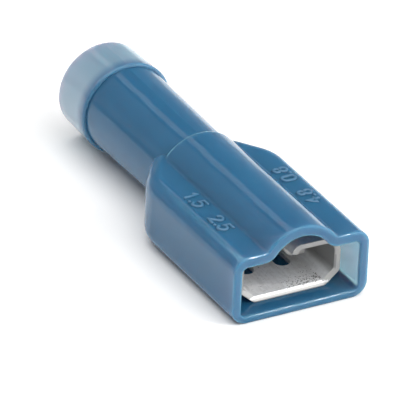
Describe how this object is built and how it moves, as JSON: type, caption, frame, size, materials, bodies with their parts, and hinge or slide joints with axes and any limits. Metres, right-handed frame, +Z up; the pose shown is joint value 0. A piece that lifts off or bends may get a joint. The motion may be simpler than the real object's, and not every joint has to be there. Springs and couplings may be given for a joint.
{
  "type": "female spade terminal",
  "caption": "Insulated female spade terminal: a folded, tinned receptacle with curled wings and a crimp barrel, inside a blue moulded sleeve with a wire funnel.",
  "frame": {"origin": "where the mating tab enters: on the mouth plane, at the middle of the tab's width and thickness", "axes": "+Y runs back along the wire, +Z is up from the housing's flat underside, +X is across the tab"},
  "size_m": [0.0076, 0.0212, 0.0052],
  "materials": {
    "nylon": "translucent, semi-gloss",
    "tinned_brass": "tin plated, satin"
  },
  "bodies": {
    "root": {"insulator": "nylon", "terminal": "tinned_brass"}
  },
  "joints": []
}
